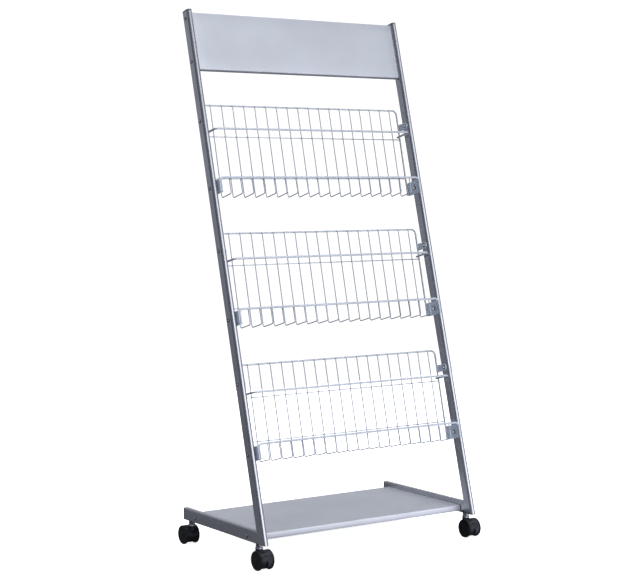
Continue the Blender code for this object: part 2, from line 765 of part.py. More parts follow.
def build():
    """The whole rack, standing on the floor with the middle of its footprint at the origin."""
    clear_scene()
    steel = material("silver_paint", (0.42, 0.43, 0.48), 0.42, 0.5)
    panel = material("panel_paint", (0.50, 0.51, 0.56), 0.45, 0.3)
    wire = material("wire_paint", (0.75, 0.78, 0.85), 0.35, 0.5)
    plastic = material("cap_plastic", (0.06, 0.06, 0.065), 0.55, 0.0)
    finishes = {
        "zinc": material("zinc", (0.62, 0.66, 0.70), 0.30, 1.0),
        "dark_steel": material("dark_steel", (0.20, 0.20, 0.22), 0.40, 1.0),
        "hood": material("hood_plastic", (0.012, 0.012, 0.014), 0.42, 0.0),
        "wheel": material("wheel_plastic", (0.010, 0.010, 0.012), 0.50, 0.0),
    }
    level = frame("level_frame", None, (0, -CENTRE_Y, 0))
    leaning = frame("leaning_frame", level, (0, 0, FOOT_CLEARANCE), (-LEAN, 0, 0))
    bpy.context.view_layer.update()
    build_frame(level, leaning, steel, plastic)
    place("header_panel", header_mesh(), panel, leaning)
    place("base_shelf", shelf_mesh(), panel, level)
    basket = basket_mesh()
    for index in range(BASKET_COUNT):
        place(f"wire_basket_{index + 1}", basket, wire, leaning, (0, 0, basket_height(index)))
    build_bolts(level, leaning, finishes["zinc"])
    for row, y, braked in (("front", FRONT_STEM_Y, True), ("rear", REAR_STEM_Y, False)):
        for side, word in ((-1, "left"), (1, "right")):
            build_castor(f"{row}_{word}_castor", level, (side * TUBE_X, y), braked, finishes)


build()
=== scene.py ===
import json
import math

import bmesh
import bpy
from mathutils import Matrix, Vector


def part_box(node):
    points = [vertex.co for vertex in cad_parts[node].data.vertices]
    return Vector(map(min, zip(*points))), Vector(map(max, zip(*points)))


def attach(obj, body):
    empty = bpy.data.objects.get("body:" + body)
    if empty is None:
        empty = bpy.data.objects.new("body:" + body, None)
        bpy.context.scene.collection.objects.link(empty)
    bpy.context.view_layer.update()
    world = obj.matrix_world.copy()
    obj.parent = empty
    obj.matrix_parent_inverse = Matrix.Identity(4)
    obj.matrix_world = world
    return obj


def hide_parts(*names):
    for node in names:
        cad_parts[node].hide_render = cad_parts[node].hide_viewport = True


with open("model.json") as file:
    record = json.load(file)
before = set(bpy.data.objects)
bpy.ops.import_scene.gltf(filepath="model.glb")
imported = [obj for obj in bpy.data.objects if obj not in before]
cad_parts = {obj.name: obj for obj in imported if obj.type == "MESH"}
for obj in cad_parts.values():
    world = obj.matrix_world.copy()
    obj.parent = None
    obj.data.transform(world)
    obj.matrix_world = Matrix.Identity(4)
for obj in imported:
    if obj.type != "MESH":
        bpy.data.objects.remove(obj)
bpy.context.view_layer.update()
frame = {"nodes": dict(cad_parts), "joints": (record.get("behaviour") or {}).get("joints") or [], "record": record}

# The frame's own measures ----------------------------------

MOUNTS = {mount["name"]: mount for mount in frame["record"]["mounts"]}
JOINTS = {joint["name"]: joint for joint in frame["joints"]}
LEAN = math.atan2(MOUNTS["sign_face"]["axis"][2], -MOUNTS["sign_face"]["axis"][1])
UPRIGHT_LOW, UPRIGHT_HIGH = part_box("left_upright")
RAIL_LOW, RAIL_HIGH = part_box("left_foot_rail")
RAIL_MIDDLE = (RAIL_LOW.z + RAIL_HIGH.z) / 2
TUBE_WIDTH = UPRIGHT_HIGH.x - UPRIGHT_LOW.x
TUBE_DEPTH = RAIL_HIGH.z - RAIL_LOW.z
UPRIGHT_LENGTH = (UPRIGHT_HIGH.z - UPRIGHT_LOW.z) / math.cos(LEAN)
TUBE_X = -(UPRIGHT_LOW.x + UPRIGHT_HIGH.x) / 2
INNER_X = -UPRIGHT_HIGH.x
BOLT_DEPTH = TUBE_DEPTH / 2
LEVEL = Matrix.Identity(4)
LEANING = Matrix.Translation((0, UPRIGHT_LOW.y, UPRIGHT_LOW.z)) @ Matrix.Rotation(-LEAN, 4, "X")
RACK = "rack"
SIDES = ((-1, "left"), (1, "right"))
SWIVEL = JOINTS["rear_left_castor_swivel"]["pos_m"]
AXLE = JOINTS["rear_left_castor_left_wheel_spin"]["pos_m"]
DISC_LOW, DISC_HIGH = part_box("rear_left_castor_left_wheel")
TRAIL = AXLE[1] - SWIVEL[1]
WHEEL_RADIUS = AXLE[2]
RIM_OUTER = SWIVEL[0] - DISC_LOW.x
RIM_INNER = RIM_OUTER - 0.0045
TREAD_INNER = SWIVEL[0] - DISC_HIGH.x - 0.0006

# Details of the looks, in metres ---------------------------

TUBE_WALL = 0.0014
TUBE_EDGE = 0.0003
FOOT_CORNER = 0.0026
LEAST_CORNER = 0.0005
BEAD_RADIUS = 0.0006
BEAD_OUT = 0.0002
BEAD_WIDENING = 1.35
BEAD_RIPPLE = 0.10
BEAD_PITCH = 2.4
SHEET = 0.0012
BEND_RADIUS = 0.0018
SHEET_EDGE = 0.0002
CAP_ROUND = 0.0018
WIRE_COUNT = 18
WIRE_PITCH = 0.0322
WIRE_RADIUS = 0.0014
WIRE_END = ((0.0, 0.45), (0.18, 0.85), (0.5, 1.0))
RAIL_RADIUS = 0.0027
END_RADIUS = 0.0022
END_WIRE_X = 0.2990
J_BEND = 0.0048
U_BEND = 0.0120
ARM_BEND = 0.0095
LEG_BEND = 0.0085
LEG_GAP = 0.0019
BASKET_TOP = 0.0477
SECOND_WIRE = -0.0314
LOW_BACK_WIRE = -0.1366
UPPER_RAIL = -0.0240
LOWER_RAIL = -0.1460
BASKET_BOTTOM = -0.1848
BACK_DEPTH_TOP = 0.0338
BACK_DEPTH_BOTTOM = 0.0395
FRONT_DEPTH = -0.0050
PLATE_TOP = -0.1493
PLATE_BOTTOM = -0.1838
PLATE_BACK = 0.0415
LOBE_RADIUS = 0.0088
BRACKET_HALF = 0.00095
BRACKET_EDGE = 0.0006
BRACKET_GAP = 0.0003
PLATE_HALF = 0.00075
PLATE_CORNER = 0.0028
PLATE_CHAMFER = 0.0012
LOWER_BOLT = -0.1680
WELD = 0.0004
NUT_GAP = 0.0018
UPPER_NUT_GAP = 0.0002
HOOD_RADIUS = WHEEL_RADIUS - 0.0002
HOOD_HALF_WIDTH = RIM_INNER - 0.0003
HOOD_FLOOR_GAP = 0.0068
SLOT_LOW = 0.0115
MOULD_EDGE = 0.0003
TREAD_RADIUS = WHEEL_RADIUS - 0.0021
NUT_ACROSS = 0.0150
PEDAL_X = (-0.0090, -0.0010)
PEDAL_SLACK = 0.0005
PEDAL_ANGLES = (math.radians(-32.0), math.radians(8.0))
PEDAL_INNER = WHEEL_RADIUS - 0.0033
PEDAL_OUTER = WHEEL_RADIUS + 0.0006


# Mesh tools ------------------------------------------------

def to_mesh(bm, name, smooth_below=32.0):
    """A mesh with outward faces, smooth where it is round."""
    bmesh.ops.recalc_face_normals(bm, faces=bm.faces)
    mesh = bpy.data.meshes.new(name)
    bm.to_mesh(mesh)
    bm.free()
    mesh.shade_smooth()
    mesh.set_sharp_from_angle(angle=math.radians(smooth_below))
    return mesh


def add_loft(bm, rings, closed=False):
    """Quads between rings of equal length, with flat caps unless the loft closes on itself."""
    rows = [[bm.verts.new(point) for point in ring] for ring in rings]
    pairs = list(zip(rows, rows[1:]))
    if closed:
        pairs.append((rows[-1], rows[0]))
    for low, high in pairs:
        for i, vert in enumerate(low):
            after = (i + 1) % len(low)
            bm.faces.new((vert, low[after], high[after], high[i]))
    if not closed:
        bm.faces.new(rows[0])
        bm.faces.new(rows[-1])


def loft_mesh(name, rings, smooth_below=32.0, closed=False):
    """A mesh of one loft."""
    bm = bmesh.new()
    add_loft(bm, rings, closed)
    return to_mesh(bm, name, smooth_below)


def circle(radius, sides):
    """Points (a, b) around a circle."""
    angles = [2 * math.pi * i / sides for i in range(sides)]
    return [(radius * math.cos(angle), radius * math.sin(angle)) for angle in angles]


def flat_rings(profile, sides):
    """Level circles about Z from (radius, height) points."""
    return [[(a, b, height) for a, b in circle(radius, sides)] for radius, height in profile]


def oval(width, depth, steps=14):
    """Points (across, along) of a flat oval with half-round ends."""
    radius = width / 2
    straight = depth / 2 - radius
    points = []
    for side in (1, -1):
        for i in range(steps + 1):
            angle = math.pi * i / steps + (0 if side > 0 else math.pi)
            points.append((radius * math.cos(angle), side * straight + radius * math.sin(angle)))
    return points


def upright_section(inset):
    """The upright's flat oval, drawn in from its outside by an inset."""
    return oval(TUBE_WIDTH - 2 * inset, TUBE_DEPTH - 2 * inset)


def foot_section(inset, steps=6, spans=10):
    """The foot rail's rectangle with rounded corners, divided along its short sides."""
    radius = max(FOOT_CORNER - inset, LEAST_CORNER)
    across = TUBE_WIDTH / 2 - inset - radius
    along = TUBE_DEPTH / 2 - inset - radius
    arc = [math.pi / 2 * i / steps for i in range(steps + 1)]
    half = [(across + radius * math.cos(a), along + radius * math.sin(a)) for a in arc]
    half += [(across * (1 - 2 * i / spans), along + radius) for i in range(1, spans)]
    half += [(-across - radius * math.sin(a), along + radius * math.cos(a)) for a in arc]
    return half + [(-a, -b) for a, b in half]


def add_turned(bm, profile, sides, matrix=LEVEL):
    """A solid turned about Z from (radius, height) points, placed by a matrix."""
    add_loft(bm, [[matrix @ Vector(point) for point in ring] for ring in flat_rings(profile, sides)])


def turned_mesh(name, profile, sides, smooth_below=40.0, matrix=LEVEL):
    """A mesh of one turned solid."""
    bm = bmesh.new()
    add_turned(bm, profile, sides, matrix)
    return to_mesh(bm, name, smooth_below)


def rounded(points, radius, steps):
    """Replace each inner corner of a path with an arc."""
    path = [Vector(points[0])]
    for before, corner, after in zip(points, points[1:], points[2:]):
        corner = Vector(corner)
        back = (Vector(before) - corner).normalized()
        ahead = (Vector(after) - corner).normalized()
        half = back.angle(ahead) / 2
        centre = corner + (back + ahead).normalized() * radius / math.sin(half)
        start = corner + back * radius / math.tan(half) - centre
        end = corner + ahead * radius / math.tan(half) - centre
        for i in range(steps + 1):
            path.append(centre + start.slerp(end, i / steps).normalized() * radius)
    path.append(Vector(points[-1]))
    return path


def add_wire(bm, path, normal, radius, sides=12):
    """A round wire along a flat path, with softly rounded ends."""
    normal = Vector(normal).normalized()
    last = len(path) - 1
    rings = []
    for i, point in enumerate(path):
        arriving = (path[max(i, 1)] - path[max(i, 1) - 1]).normalized()
        leaving = (path[min(i, last - 1) + 1] - path[min(i, last - 1)]).normalized()
        along = (leaving + arriving).normalized()
        across = normal.cross(along).normalized() / max(along.dot(arriving), 0.5)
        stations = [(0.0, 1.0)]
        if i == 0:
            stations = WIRE_END
        if i == last:
            stations = [(-reach, share) for reach, share in reversed(WIRE_END)]
        for reach, share in stations:
            centre = point + along * radius * reach
            rings.append([centre + (normal * a + across * b) * share for a, b in circle(radius, sides)])
    add_loft(bm, rings)


def boolean(mesh, tool, operation="DIFFERENCE"):
    """The exact Boolean of two meshes in one frame, as a new mesh."""
    target = bpy.data.objects.new("target", mesh)
    cutter = bpy.data.objects.new("cutter", tool)
    for temporary in (target, cutter):
        bpy.context.scene.collection.objects.link(temporary)
    modifier = target.modifiers.new("boolean", "BOOLEAN")
    modifier.operation = operation
    modifier.solver = "EXACT"
    modifier.object = cutter
    evaluated = target.evaluated_get(bpy.context.evaluated_depsgraph_get())
    made = bpy.data.meshes.new_from_object(evaluated)
    made.name = mesh.name
    for temporary in (target, cutter):
        bpy.data.objects.remove(temporary, do_unlink=True)
    made.set_sharp_from_angle(angle=math.radians(32.0))
    return made


def add_box(bm, low, high):
    """An axis-aligned box between two corners."""
    size = Vector(high) - Vector(low)
    middle = (Vector(high) + Vector(low)) / 2
    bmesh.ops.create_cube(bm, size=1.0, matrix=Matrix.Translation(middle) @ Matrix.Diagonal((*size, 1)))


def piece(name, mesh, matrix, body, finish, replaced=()):
    """One finished piece: placed, painted, riding on its body and standing for its CAD nodes."""
    made = bpy.data.objects.new(name, mesh)
    bpy.context.scene.collection.objects.link(made)
    made.matrix_world = matrix
    if not mesh.materials:
        mesh.materials.append(finish)
    bpy.context.view_layer.update()
    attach(made, body)
    if replaced:
        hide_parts(*replaced)
    return made


def soften(made, width, segments=2, angle=40.0):
    """Round a piece's hard edges."""
    bevel = made.modifiers.new("soft_edges", "BEVEL")
    bevel.width = width
    bevel.segments = segments
    bevel.limit_method = "ANGLE"
    bevel.angle_limit = math.radians(angle)
    return made


# Materials -------------------------------------------------

def fill(node, **values):
    """Set a node's inputs by their names, with _ for a space."""
    for key, value in values.items():
        node.inputs[key.replace("_", " ")].default_value = value


class Nodes:
    """A short way to write a material's node tree."""

    def __init__(self, name):
        self.material = bpy.data.materials.new(name)
        self.material.use_nodes = True
        self.tree = self.material.node_tree
        self.shader = self.tree.nodes["Principled BSDF"]
        self.place = self.add("ShaderNodeTexCoord").outputs["Object"]

    def add(self, kind, **settings):
        node = self.tree.nodes.new(kind)
        for key, value in settings.items():
            setattr(node, key, value)
        return node

    def link(self, source, target):
        self.tree.links.new(source, target)

    def noise(self, scale, detail=2.0, roughness=0.5, stretch=(1, 1, 1)):
        mapping = self.add("ShaderNodeMapping")
        fill(mapping, Scale=stretch)
        self.link(self.place, mapping.inputs["Vector"])
        noise = self.add("ShaderNodeTexNoise")
        fill(noise, Scale=scale, Detail=detail, Roughness=roughness)
        self.link(mapping.outputs["Vector"], noise.inputs["Vector"])
        return noise.outputs["Fac"]

    def cells(self, scale):
        cells = self.add("ShaderNodeTexVoronoi")
        fill(cells, Scale=scale)
        self.link(self.place, cells.inputs["Vector"])
        return cells.outputs["Color"]

    def ramp(self, factor, stops):
        ramp = self.add("ShaderNodeValToRGB")
        elements = ramp.color_ramp.elements
        while len(elements) < len(stops):
            elements.new(0.5)
        for element, (position, colour) in zip(elements, stops):
            element.position = position
            element.color = (*colour, 1.0)
        self.link(factor, ramp.inputs["Fac"])
        return ramp.outputs["Color"]

    def spread(self, factor, low, high, start=0.3, end=0.7):
        spread = self.add("ShaderNodeMapRange")
        fill(spread, From_Min=start, From_Max=end, To_Min=low, To_Max=high)
        self.link(factor, spread.inputs["Value"])
        return spread.outputs["Result"]

    def mix(self, factor, first, second):
        mixed = self.add("ShaderNodeMix", data_type="RGBA")
        self.link(factor, mixed.inputs["Factor"])
        for socket, value in (("A", first), ("B", second)):
            target = next(s for s in mixed.inputs if s.name == socket and s.type == "RGBA")
            if isinstance(value, tuple):
                target.default_value = (*value, 1.0)
            else:
                self.link(value, target)
        return next(s for s in mixed.outputs if s.type == "RGBA")

    def product(self, first, second):
        node = self.add("ShaderNodeMath", operation="MULTIPLY")
        self.link(first, node.inputs[0])
        self.link(second, node.inputs[1])
        return node.outputs[0]

    def bump(self, height, strength, distance, under=None):
        bump = self.add("ShaderNodeBump")
        fill(bump, Strength=strength, Distance=distance)
        self.link(height, bump.inputs["Height"])
        if under is not None:
            self.link(under, bump.inputs["Normal"])
        return bump.outputs["Normal"]

    def set(self, **values):
        names = {"colour": "Base Color", "roughness": "Roughness", "metallic": "Metallic",
                 "normal": "Normal", "coat": "Coat Weight", "coat_roughness": "Coat Roughness",
                 "specular": "Specular IOR Level"}
        for key, value in values.items():
            socket = self.shader.inputs[names[key]]
            if isinstance(value, bpy.types.NodeSocket):
                self.link(value, socket)
            elif isinstance(value, tuple):
                socket.default_value = (*value, 1.0)
            else:
                socket.default_value = value
        return self.material


def camera_switch(tree, for_light, for_camera, output):
    """Join two shaders to an output node, the second for the camera's own rays only."""
    path = tree.nodes.new("ShaderNodeLightPath")
    mix = tree.nodes.new("ShaderNodeMixShader")
    tree.links.new(path.outputs["Is Camera Ray"], mix.inputs["Fac"])
    tree.links.new(for_light.outputs[0], mix.inputs[1])
    tree.links.new(for_camera.outputs[0], mix.inputs[2])
    tree.links.new(mix.outputs[0], tree.nodes[output].inputs["Surface"])


def scaled(colour, factor):
    """A colour made lighter or darker."""
    return tuple(min(1.0, channel * factor) for channel in colour)


def powder_coat(name, colour, roughness, metallic, flake=1.0):
    """Metallic powder coat: fine orange peel, aluminium flake and a slight unevenness."""
    n = Nodes(name)
    drift = n.noise(7.0, 3.0)
    base = n.ramp(drift, ((0.35, scaled(colour, 0.95)), (0.65, scaled(colour, 1.04))))
    sparkle = n.noise(5200.0, 1.0)
    base = n.mix(n.spread(sparkle, 0.0, 0.16 * flake), base, scaled(colour, 1.5))
    peel = n.noise(620.0, 2.0, 0.6)
    grain = n.bump(sparkle, 0.06 * flake, 0.0002)
    normal = n.bump(peel, 0.16 * flake, 0.0003, grain)
    wear = n.spread(n.noise(38.0, 3.0), roughness - 0.04, roughness + 0.05)
    return n.set(colour=base, roughness=wear, metallic=metallic, normal=normal, coat=0.12, coat_roughness=0.3)


def plated(name, colour, dark, roughness, scale):
    """Zinc plate: crystal patches, fine scratches and a little tarnish."""
    n = Nodes(name)
    patch = n.add("ShaderNodeSeparateColor")
    n.link(n.cells(scale), patch.inputs["Color"])
    base = n.ramp(patch.outputs["Red"], ((0.2, dark), (0.8, colour)))
    tarnish = n.noise(90.0, 4.0, 0.65)
    base = n.mix(n.spread(tarnish, 0.0, 0.35), base, dark)
    scratch = n.noise(1400.0, 3.0, 0.6, (1.0, 0.12, 1.0))
    wear = n.spread(tarnish, roughness - 0.06, roughness + 0.10)
    return n.set(colour=base, roughness=wear, metallic=1.0, normal=n.bump(scratch, 0.10, 0.0002))


def moulded(name, colour, roughness, grain=1.0):
    """Moulded plastic: fine spark-eroded grain, faint flow marks and dusty scuffs."""
    n = Nodes(name)
    flow = n.noise(45.0, 3.0)
    base = n.ramp(flow, ((0.3, scaled(colour, 0.8)), (0.7, scaled(colour, 1.25))))
    scuff = n.noise(420.0, 4.0, 0.7, (1.0, 0.35, 1.0))
    base = n.mix(n.spread(scuff, 0.0, 0.10), base, scaled(colour, 3.2))
    pores = n.noise(2600.0, 2.0, 0.5)
    wear = n.spread(scuff, roughness - 0.07, roughness + 0.08)
    return n.set(colour=base, roughness=wear, metallic=0.0, normal=n.bump(pores, 0.16 * grain, 0.0002),
                 specular=0.3)


def floor_paint():
    """White studio floor for the camera; the rack is lit as over a darker one, bright at its front right."""
    n = Nodes("studio_floor")
    drift = n.noise(1.2, 2.0)
    base = n.ramp(drift, ((0.3, (0.90, 0.90, 0.905)), (0.7, (0.93, 0.93, 0.935))))
    n.set(colour=base, roughness=0.75, specular=0.2)
    fill(n.shader, Emission_Color=(1.0, 1.0, 1.0, 1.0), Emission_Strength=0.9)
    dim = n.add("ShaderNodeBsdfDiffuse")
    axes = n.add("ShaderNodeSeparateXYZ")
    n.link(n.place, axes.inputs[0])
    front = n.spread(axes.outputs["Y"], 1.0, 0.0, -0.75, -0.20)
    right = n.spread(axes.outputs["X"], 0.0, 1.0, -0.55, 0.15)
    both = n.product(front, right)
    n.link(n.mix(both, (0.17, 0.17, 0.18), (0.92, 0.92, 0.94)), dim.inputs["Color"])
    near = n.spread(axes.outputs["Y"], 1.0, 0.0, -0.38, -0.20)
    far = n.spread(axes.outputs["Y"], 0.0, 1.5, -0.85, -0.55)
    glow = n.add("ShaderNodeEmission")
    fill(glow, Color=(0.90, 0.93, 1.0, 1.0))
    n.link(n.product(n.product(near, far), right), glow.inputs["Strength"])
    lit = n.add("ShaderNodeAddShader")
    n.link(dim.outputs[0], lit.inputs[0])
    n.link(glow.outputs[0], lit.inputs[1])
    camera_switch(n.tree, lit, n.shader, "Material Output")
    return n.material


FINISH = {
    "silver": powder_coat("silver_powder_coat", (0.46, 0.465, 0.50), 0.27, 0.88, 0.3),
    "panel": powder_coat("panel_powder_coat", (0.52, 0.53, 0.575), 0.40, 0.55),
    # The shelf's coat is the panel's coat painted about 15% lighter: painted light on the shelf sheet.
    "shelf": powder_coat("shelf_coat_painted_lighter", (0.60, 0.61, 0.66), 0.40, 0.55),
    "wire": powder_coat("wire_powder_coat", (0.50, 0.525, 0.585), 0.34, 0.42, 0.4),
    "bracket": powder_coat("bracket_coat", (0.60, 0.67, 0.78), 0.34, 0.40, 0.5),
    "core": powder_coat("bright_core", (0.92, 0.94, 0.93), 0.30, 0.05, 0.3),
    "zinc": plated("bright_zinc", (0.74, 0.80, 0.84), (0.58, 0.64, 0.70), 0.24, 500.0),
    "stem": plated("stem_zinc", (0.50, 0.57, 0.63), (0.36, 0.42, 0.48), 0.34, 500.0),
    "bolt_end": powder_coat("bolt_end", (0.96, 0.88, 0.76), 0.30, 0.05, 0.2),
    "black_steel": plated("blackened_steel", (0.085, 0.088, 0.10), (0.045, 0.047, 0.055), 0.42, 500.0),
    "nut": plated("nut_steel", (0.34, 0.33, 0.37), (0.20, 0.195, 0.22), 0.38, 420.0),
    "hood": moulded("hood_nylon", (0.014, 0.014, 0.019), 0.42),
    "pedal": moulded("pedal_nylon", (0.034, 0.037, 0.052), 0.45),
    "wheel": moulded("wheel_nylon", (0.0065, 0.0065, 0.0085), 0.46, 0.7),
    # Near-black rough plastic for the block behind the brake slot: painted shade.
    "shadow": moulded("slot_shade_block", (0.0022, 0.0022, 0.0028), 0.85, 0.5),
    "cap": moulded("cap_plastic", (0.060, 0.060, 0.066), 0.50),
}


# Tubes and caps --------------------------------------------

def make_tube(node, start, end, section, matrix):
    """Hollow painted tube of one section between two end functions of (across, along)."""
    rings = []
    for place, inset in ((start, 0.0), (end, 0.0), (end, TUBE_WALL), (start, TUBE_WALL)):
        rings.append([place(*point) for point in section(inset)])
    mesh = loft_mesh(node, rings, closed=True)
    soften(piece(f"{node}_tube", mesh, matrix, RACK, FINISH["silver"], (node,)), TUBE_EDGE)


def make_upright(side, word):
    """Leaning upright, its foot cut level."""
    def foot(across, along):
        depth = along + TUBE_DEPTH / 2
        return (side * TUBE_X + across, depth, depth * math.tan(LEAN))

    def head(across, along):
        return (side * TUBE_X + across, along + TUBE_DEPTH / 2, UPRIGHT_LENGTH)

    make_tube(f"{word}_upright", foot, head, upright_section, LEANING)


def junction_y(across, height, out=0.0):
    """Where a point of the foot rail's section meets the upright's back, in the world's Y."""
    radius = TUBE_WIDTH / 2
    reach = math.sqrt(max(radius * radius - across * across, 0.0))
    depth = TUBE_DEPTH - radius + reach + out
    return UPRIGHT_LOW.y + depth / math.cos(LEAN) + (height - UPRIGHT_LOW.z) * math.tan(LEAN)


def make_foot_rail(side, word):
    """Level foot rail, coped to fit the upright's round back."""
    def front(across, along):
        height = RAIL_MIDDLE + along
        return (side * TUBE_X + across, junction_y(across, height), height)

    def rear(across, along):
        return (side * TUBE_X + across, RAIL_HIGH.y, RAIL_MIDDLE + along)

    make_tube(f"{word}_foot_rail", front, rear, foot_section, LEVEL)


def make_weld(side, word):
    """Ground weld bead around the joint of an upright and its foot rail."""
    path = []
    for across, along in foot_section(BEAD_RADIUS):
        height = RAIL_MIDDLE + along
        path.append(Vector((side * TUBE_X + across, junction_y(across, height, BEAD_OUT), height)))
    rings = []
    for i, point in enumerate(path):
        along = (path[(i + 1) % len(path)] - path[i - 1]).normalized()
        outward = Vector((point.x - side * TUBE_X, 0, point.z - RAIL_MIDDLE)).normalized()
        outward = (outward - along * outward.dot(along)).normalized()
        across = along.cross(outward) * BEAD_WIDENING
        radius = BEAD_RADIUS * (1.0 + BEAD_RIPPLE * math.sin(i * BEAD_PITCH))
        rings.append([point + outward * a + across * b for a, b in circle(radius, 10)])
    mesh = loft_mesh("weld", rings, 60.0, closed=True)
    piece(f"{word}_foot_weld", mesh, LEVEL, RACK, FINISH["silver"])


def cap_mesh(section):
    """Plastic cap for a tube of one section: a domed head with rounded edges over a ribbed plug."""
    profile = [(0.0020, -0.0115), (0.0017, -0.0110)]
    for i in range(4):
        height = -0.0100 + i * 0.0024
        for inset, rise in ((0.0017, 0.0), (0.00145, 0.0003), (0.00145, 0.0009), (0.0017, 0.0012)):
            profile.append((inset, height + rise))
    profile += [(0.0017, 0.0001), (0.0001, 0.0001), (-0.0001, 0.0004), (-0.0001, 0.0016)]
    for degrees in (20, 40, 60, 80):
        angle = math.radians(degrees)
        profile.append((CAP_ROUND * (1 - math.cos(angle)) - 0.0001, 0.0016 + CAP_ROUND * math.sin(angle)))
    profile += [(0.0036, 0.0037), (0.0056, 0.0040), (0.0070, 0.0040)]
    return loft_mesh("cap", [[(a, b, height) for a, b in section(inset)] for inset, height in profile], 50.0)


def make_caps(side, word):
    """Top cap in the upright and rear cap in the foot rail."""
    top = LEANING @ Matrix.Translation((side * TUBE_X, TUBE_DEPTH / 2, UPRIGHT_LENGTH))
    piece(f"{word}_top_plug", cap_mesh(upright_section), top, RACK, FINISH["cap"],
          (f"{word}_top_cap",))
    rear = Matrix.Translation((side * TUBE_X, RAIL_HIGH.y, RAIL_MIDDLE))
    rear = rear @ Matrix.Rotation(-math.pi / 2, 4, "X")
    piece(f"{word}_rear_plug", cap_mesh(foot_section), rear, RACK, FINISH["cap"],
          (f"{word}_rear_cap",))


# Sheet metal -----------------------------------------------

def folded_tray(name, width, height, flange, radius):
    """Folded sheet in its own frame: outer face at Z = 0 facing +Z, flanges folded to -Z with round bends."""
    bm = bmesh.new()
    half = (width / 2 - radius, height / 2 - radius)
    columns = 24
    rows = max(4, int(columns * height / width))
    grid = [[bm.verts.new((half[0] * (2 * i / columns - 1), half[1] * (2 * j / rows - 1), 0))
             for i in range(columns + 1)] for j in range(rows + 1)]
    for low, high in zip(grid, grid[1:]):
        for i in range(columns):
            bm.faces.new((low[i], low[i + 1], high[i + 1], high[i]))
    angles = [math.radians(degrees) for degrees in range(15, 91, 15)]
    bend = [(radius * math.sin(angle), radius * (math.cos(angle) - 1)) for angle in angles]
    bend.append((radius, -flange))
    edges = ((grid[0], (0, -1)), (grid[-1], (0, 1)),
             ([row[0] for row in grid], (-1, 0)), ([row[-1] for row in grid], (1, 0)))
    for edge, out in edges:
        last = edge
        for reach, drop in bend:
            row = [bm.verts.new((v.co.x + out[0] * reach, v.co.y + out[1] * reach, drop)) for v in edge]
            for i in range(len(edge) - 1):
                bm.faces.new((last[i], last[i + 1], row[i + 1], row[i]))
            last = row
    bmesh.ops.recalc_face_normals(bm, faces=bm.faces)
    middle = min(bm.faces, key=lambda face: face.calc_center_median().length)
    if middle.normal.z < 0:
        bmesh.ops.reverse_faces(bm, faces=bm.faces)
    mesh = bpy.data.meshes.new(name)
    bm.to_mesh(mesh)
    bm.free()
    mesh.shade_smooth()
    return mesh


def thicken(made):
    """Give a folded sheet its thickness, inwards from its outer face."""
    solid = made.modifiers.new("sheet", "SOLIDIFY")
    solid.thickness = SHEET
    solid.offset = -1.0
    solid.use_even_offset = True
    soften(made, SHEET_EDGE, 2, 60.0)


def leaning_size(node):
    """Depth and height of a CAD node that is a plain box in the leaning frame."""
    low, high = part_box(node)
    depth, height = high.y - low.y, high.z - low.z
    spin = math.cos(LEAN) ** 2 - math.sin(LEAN) ** 2
    return ((depth * math.cos(LEAN) - height * math.sin(LEAN)) / spin,
            (height * math.cos(LEAN) - depth * math.sin(LEAN)) / spin)


def make_header():
    """Header panel, its sign face square to the visitor's view along the lean."""
    low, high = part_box("header_panel")
    depth, height = leaning_size("header_panel")
    mesh = folded_tray("header", high.x - low.x, height, depth, BEND_RADIUS)
    face = Matrix.Translation(MOUNTS["sign_face"]["pos_m"]) @ Matrix.Rotation(math.pi / 2 - LEAN, 4, "X")
    thicken(piece("header_sheet", mesh, face, RACK, FINISH["panel"], ("header_panel",)))


def make_shelf():
    """Base shelf between the foot rails, its flanges folded down."""
    low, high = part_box("base_shelf")
    mesh = folded_tray("shelf", high.x - low.x, high.y - low.y, high.z - low.z, BEND_RADIUS)
    top = Matrix.Translation(((low.x + high.x) / 2, (low.y + high.y) / 2, high.z))
    thicken(piece("shelf_sheet", mesh, top, RACK, FINISH["shelf"], ("base_shelf",)))


# Wire baskets ----------------------------------------------

def back_depth(height):
    """Depth of the J wires' centres at a height in the basket's frame."""
    share = (BASKET_TOP - height) / (BASKET_TOP - BASKET_BOTTOM)
    return BACK_DEPTH_TOP + share * (BACK_DEPTH_BOTTOM - BACK_DEPTH_TOP)


def rail_depth():
    """Depth of the front rails' centres."""
    return FRONT_DEPTH - WIRE_RADIUS - RAIL_RADIUS + WELD


def wire_xs():
    """Where the J wires stand across the basket."""
    return [(i - (WIRE_COUNT - 1) / 2) * WIRE_PITCH for i in range(WIRE_COUNT)]


def j_wires_mesh():
    """The J wires: down the back, forward along the bottom, up to the lower front rail."""
    bm = bmesh.new()
    top = BASKET_TOP + 0.0012
    lip = LOWER_RAIL + 0.0016
    for x in wire_xs():
        corners = [(x, back_depth(top), top), (x, back_depth(BASKET_BOTTOM), BASKET_BOTTOM),
                   (x, FRONT_DEPTH, BASKET_BOTTOM), (x, FRONT_DEPTH, lip)]
        add_wire(bm, rounded(corners, J_BEND, 6), (1, 0, 0), WIRE_RADIUS, 10)
    return to_mesh(bm, "j_wires", 60.0)


